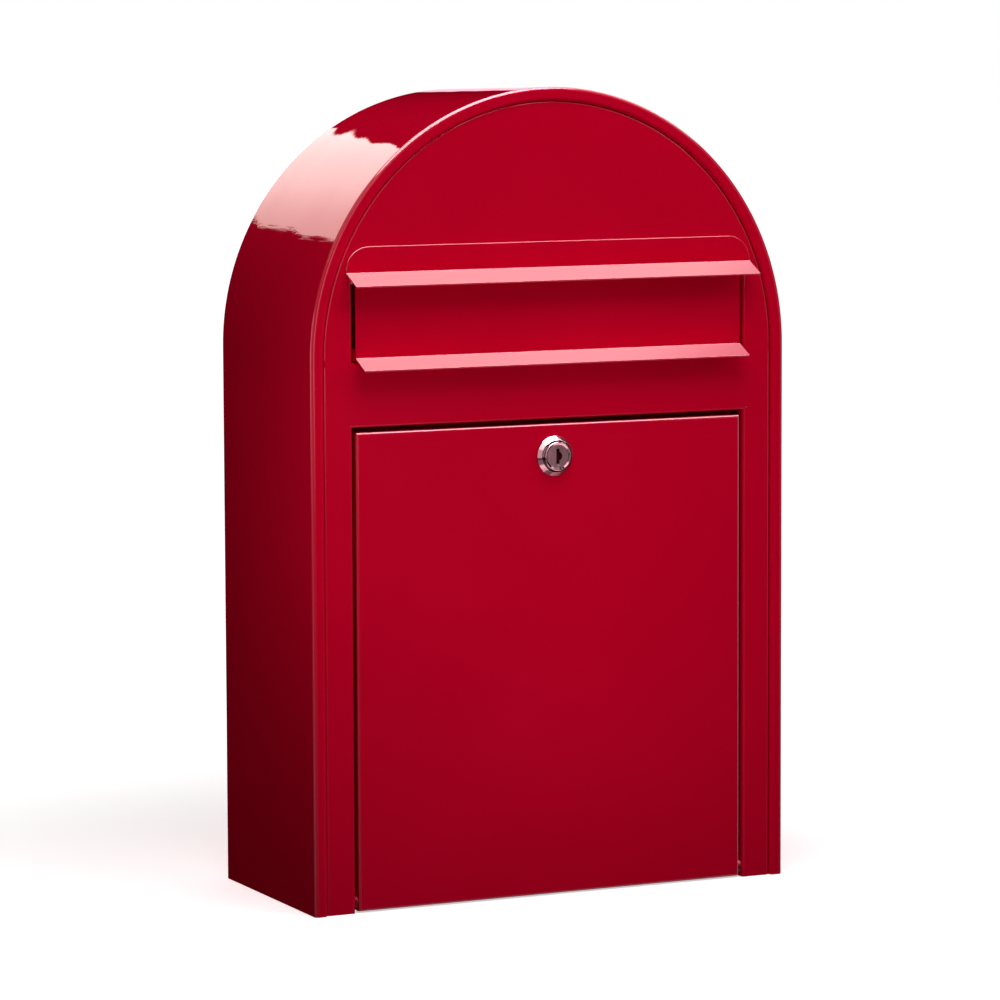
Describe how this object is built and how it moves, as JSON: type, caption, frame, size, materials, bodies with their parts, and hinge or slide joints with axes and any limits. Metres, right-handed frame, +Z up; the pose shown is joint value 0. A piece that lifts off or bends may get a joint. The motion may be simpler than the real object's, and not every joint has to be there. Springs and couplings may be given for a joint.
{
  "type": "wall letter box",
  "caption": "Arched wall letter box of folded red steel with a hooded slot flap, a drop-down door and a cam lock.",
  "frame": {"origin": "centre of the four wall-fixing holes, on the rear face of the back panel", "axes": "+Z up, +Y into the wall, +X to the right of someone facing the box"},
  "size_m": [0.3798, 0.1895, 0.5869],
  "materials": {
    "red_paint": "gloss red powder coat",
    "chrome_plate": "polished chrome plate",
    "brushed_plug": "brushed nickel face",
    "zinc_plate": "bright zinc plate",
    "black_rubber": "matt",
    "red_nylon": "satin"
  },
  "bodies": {
    "box": {"body_wrap": "red_paint", "back_panel": "red_paint", "floor_panel": "red_paint", "front_plate": "red_paint", "slot_hood": "red_paint", "mail_guide": "red_paint", "lock_keeper": "red_paint", "door_stop_left": "red_paint", "door_stop_right": "red_paint", "door_bumper_left": "black_rubber", "door_bumper_right": "black_rubber", "flap_bumper_left": "black_rubber", "flap_bumper_right": "black_rubber", "hinge_pin_left": "zinc_plate", "hinge_pin_right": "zinc_plate", "hinge_bush_left": "red_nylon", "hinge_bush_right": "red_nylon", "flap_rod": "zinc_plate", "rod_clip_left": "zinc_plate", "rod_clip_right": "zinc_plate"},
    "door": {"door": "red_paint", "lock_housing": "chrome_plate", "lock_washer": "zinc_plate", "lock_nut": "zinc_plate"},
    "flap": {"flap": "red_paint"},
    "lock_barrel": {"lock_plug": "brushed_plug", "lock_cam": "zinc_plate", "cam_washer": "zinc_plate", "cam_bolt": "zinc_plate"}
  },
  "joints": [
    {"name": "door_hinge", "type": "hinge", "parent": "box", "child": "door", "pos_m": [0, -0.1667, -0.2626], "axis": [1, 0, 0], "range_deg": [0, 90]},
    {"name": "flap_hinge", "type": "hinge", "parent": "box", "child": "flap", "pos_m": [0, -0.1677, 0.1835], "axis": [-1, 0, 0], "range_deg": [0, 55]},
    {"name": "lock_turn", "type": "hinge", "parent": "door", "child": "lock_barrel", "pos_m": [0.0023, -0.1715, 0.0514], "axis": [0, -1, 0], "range_deg": [0, 90]}
  ]
}
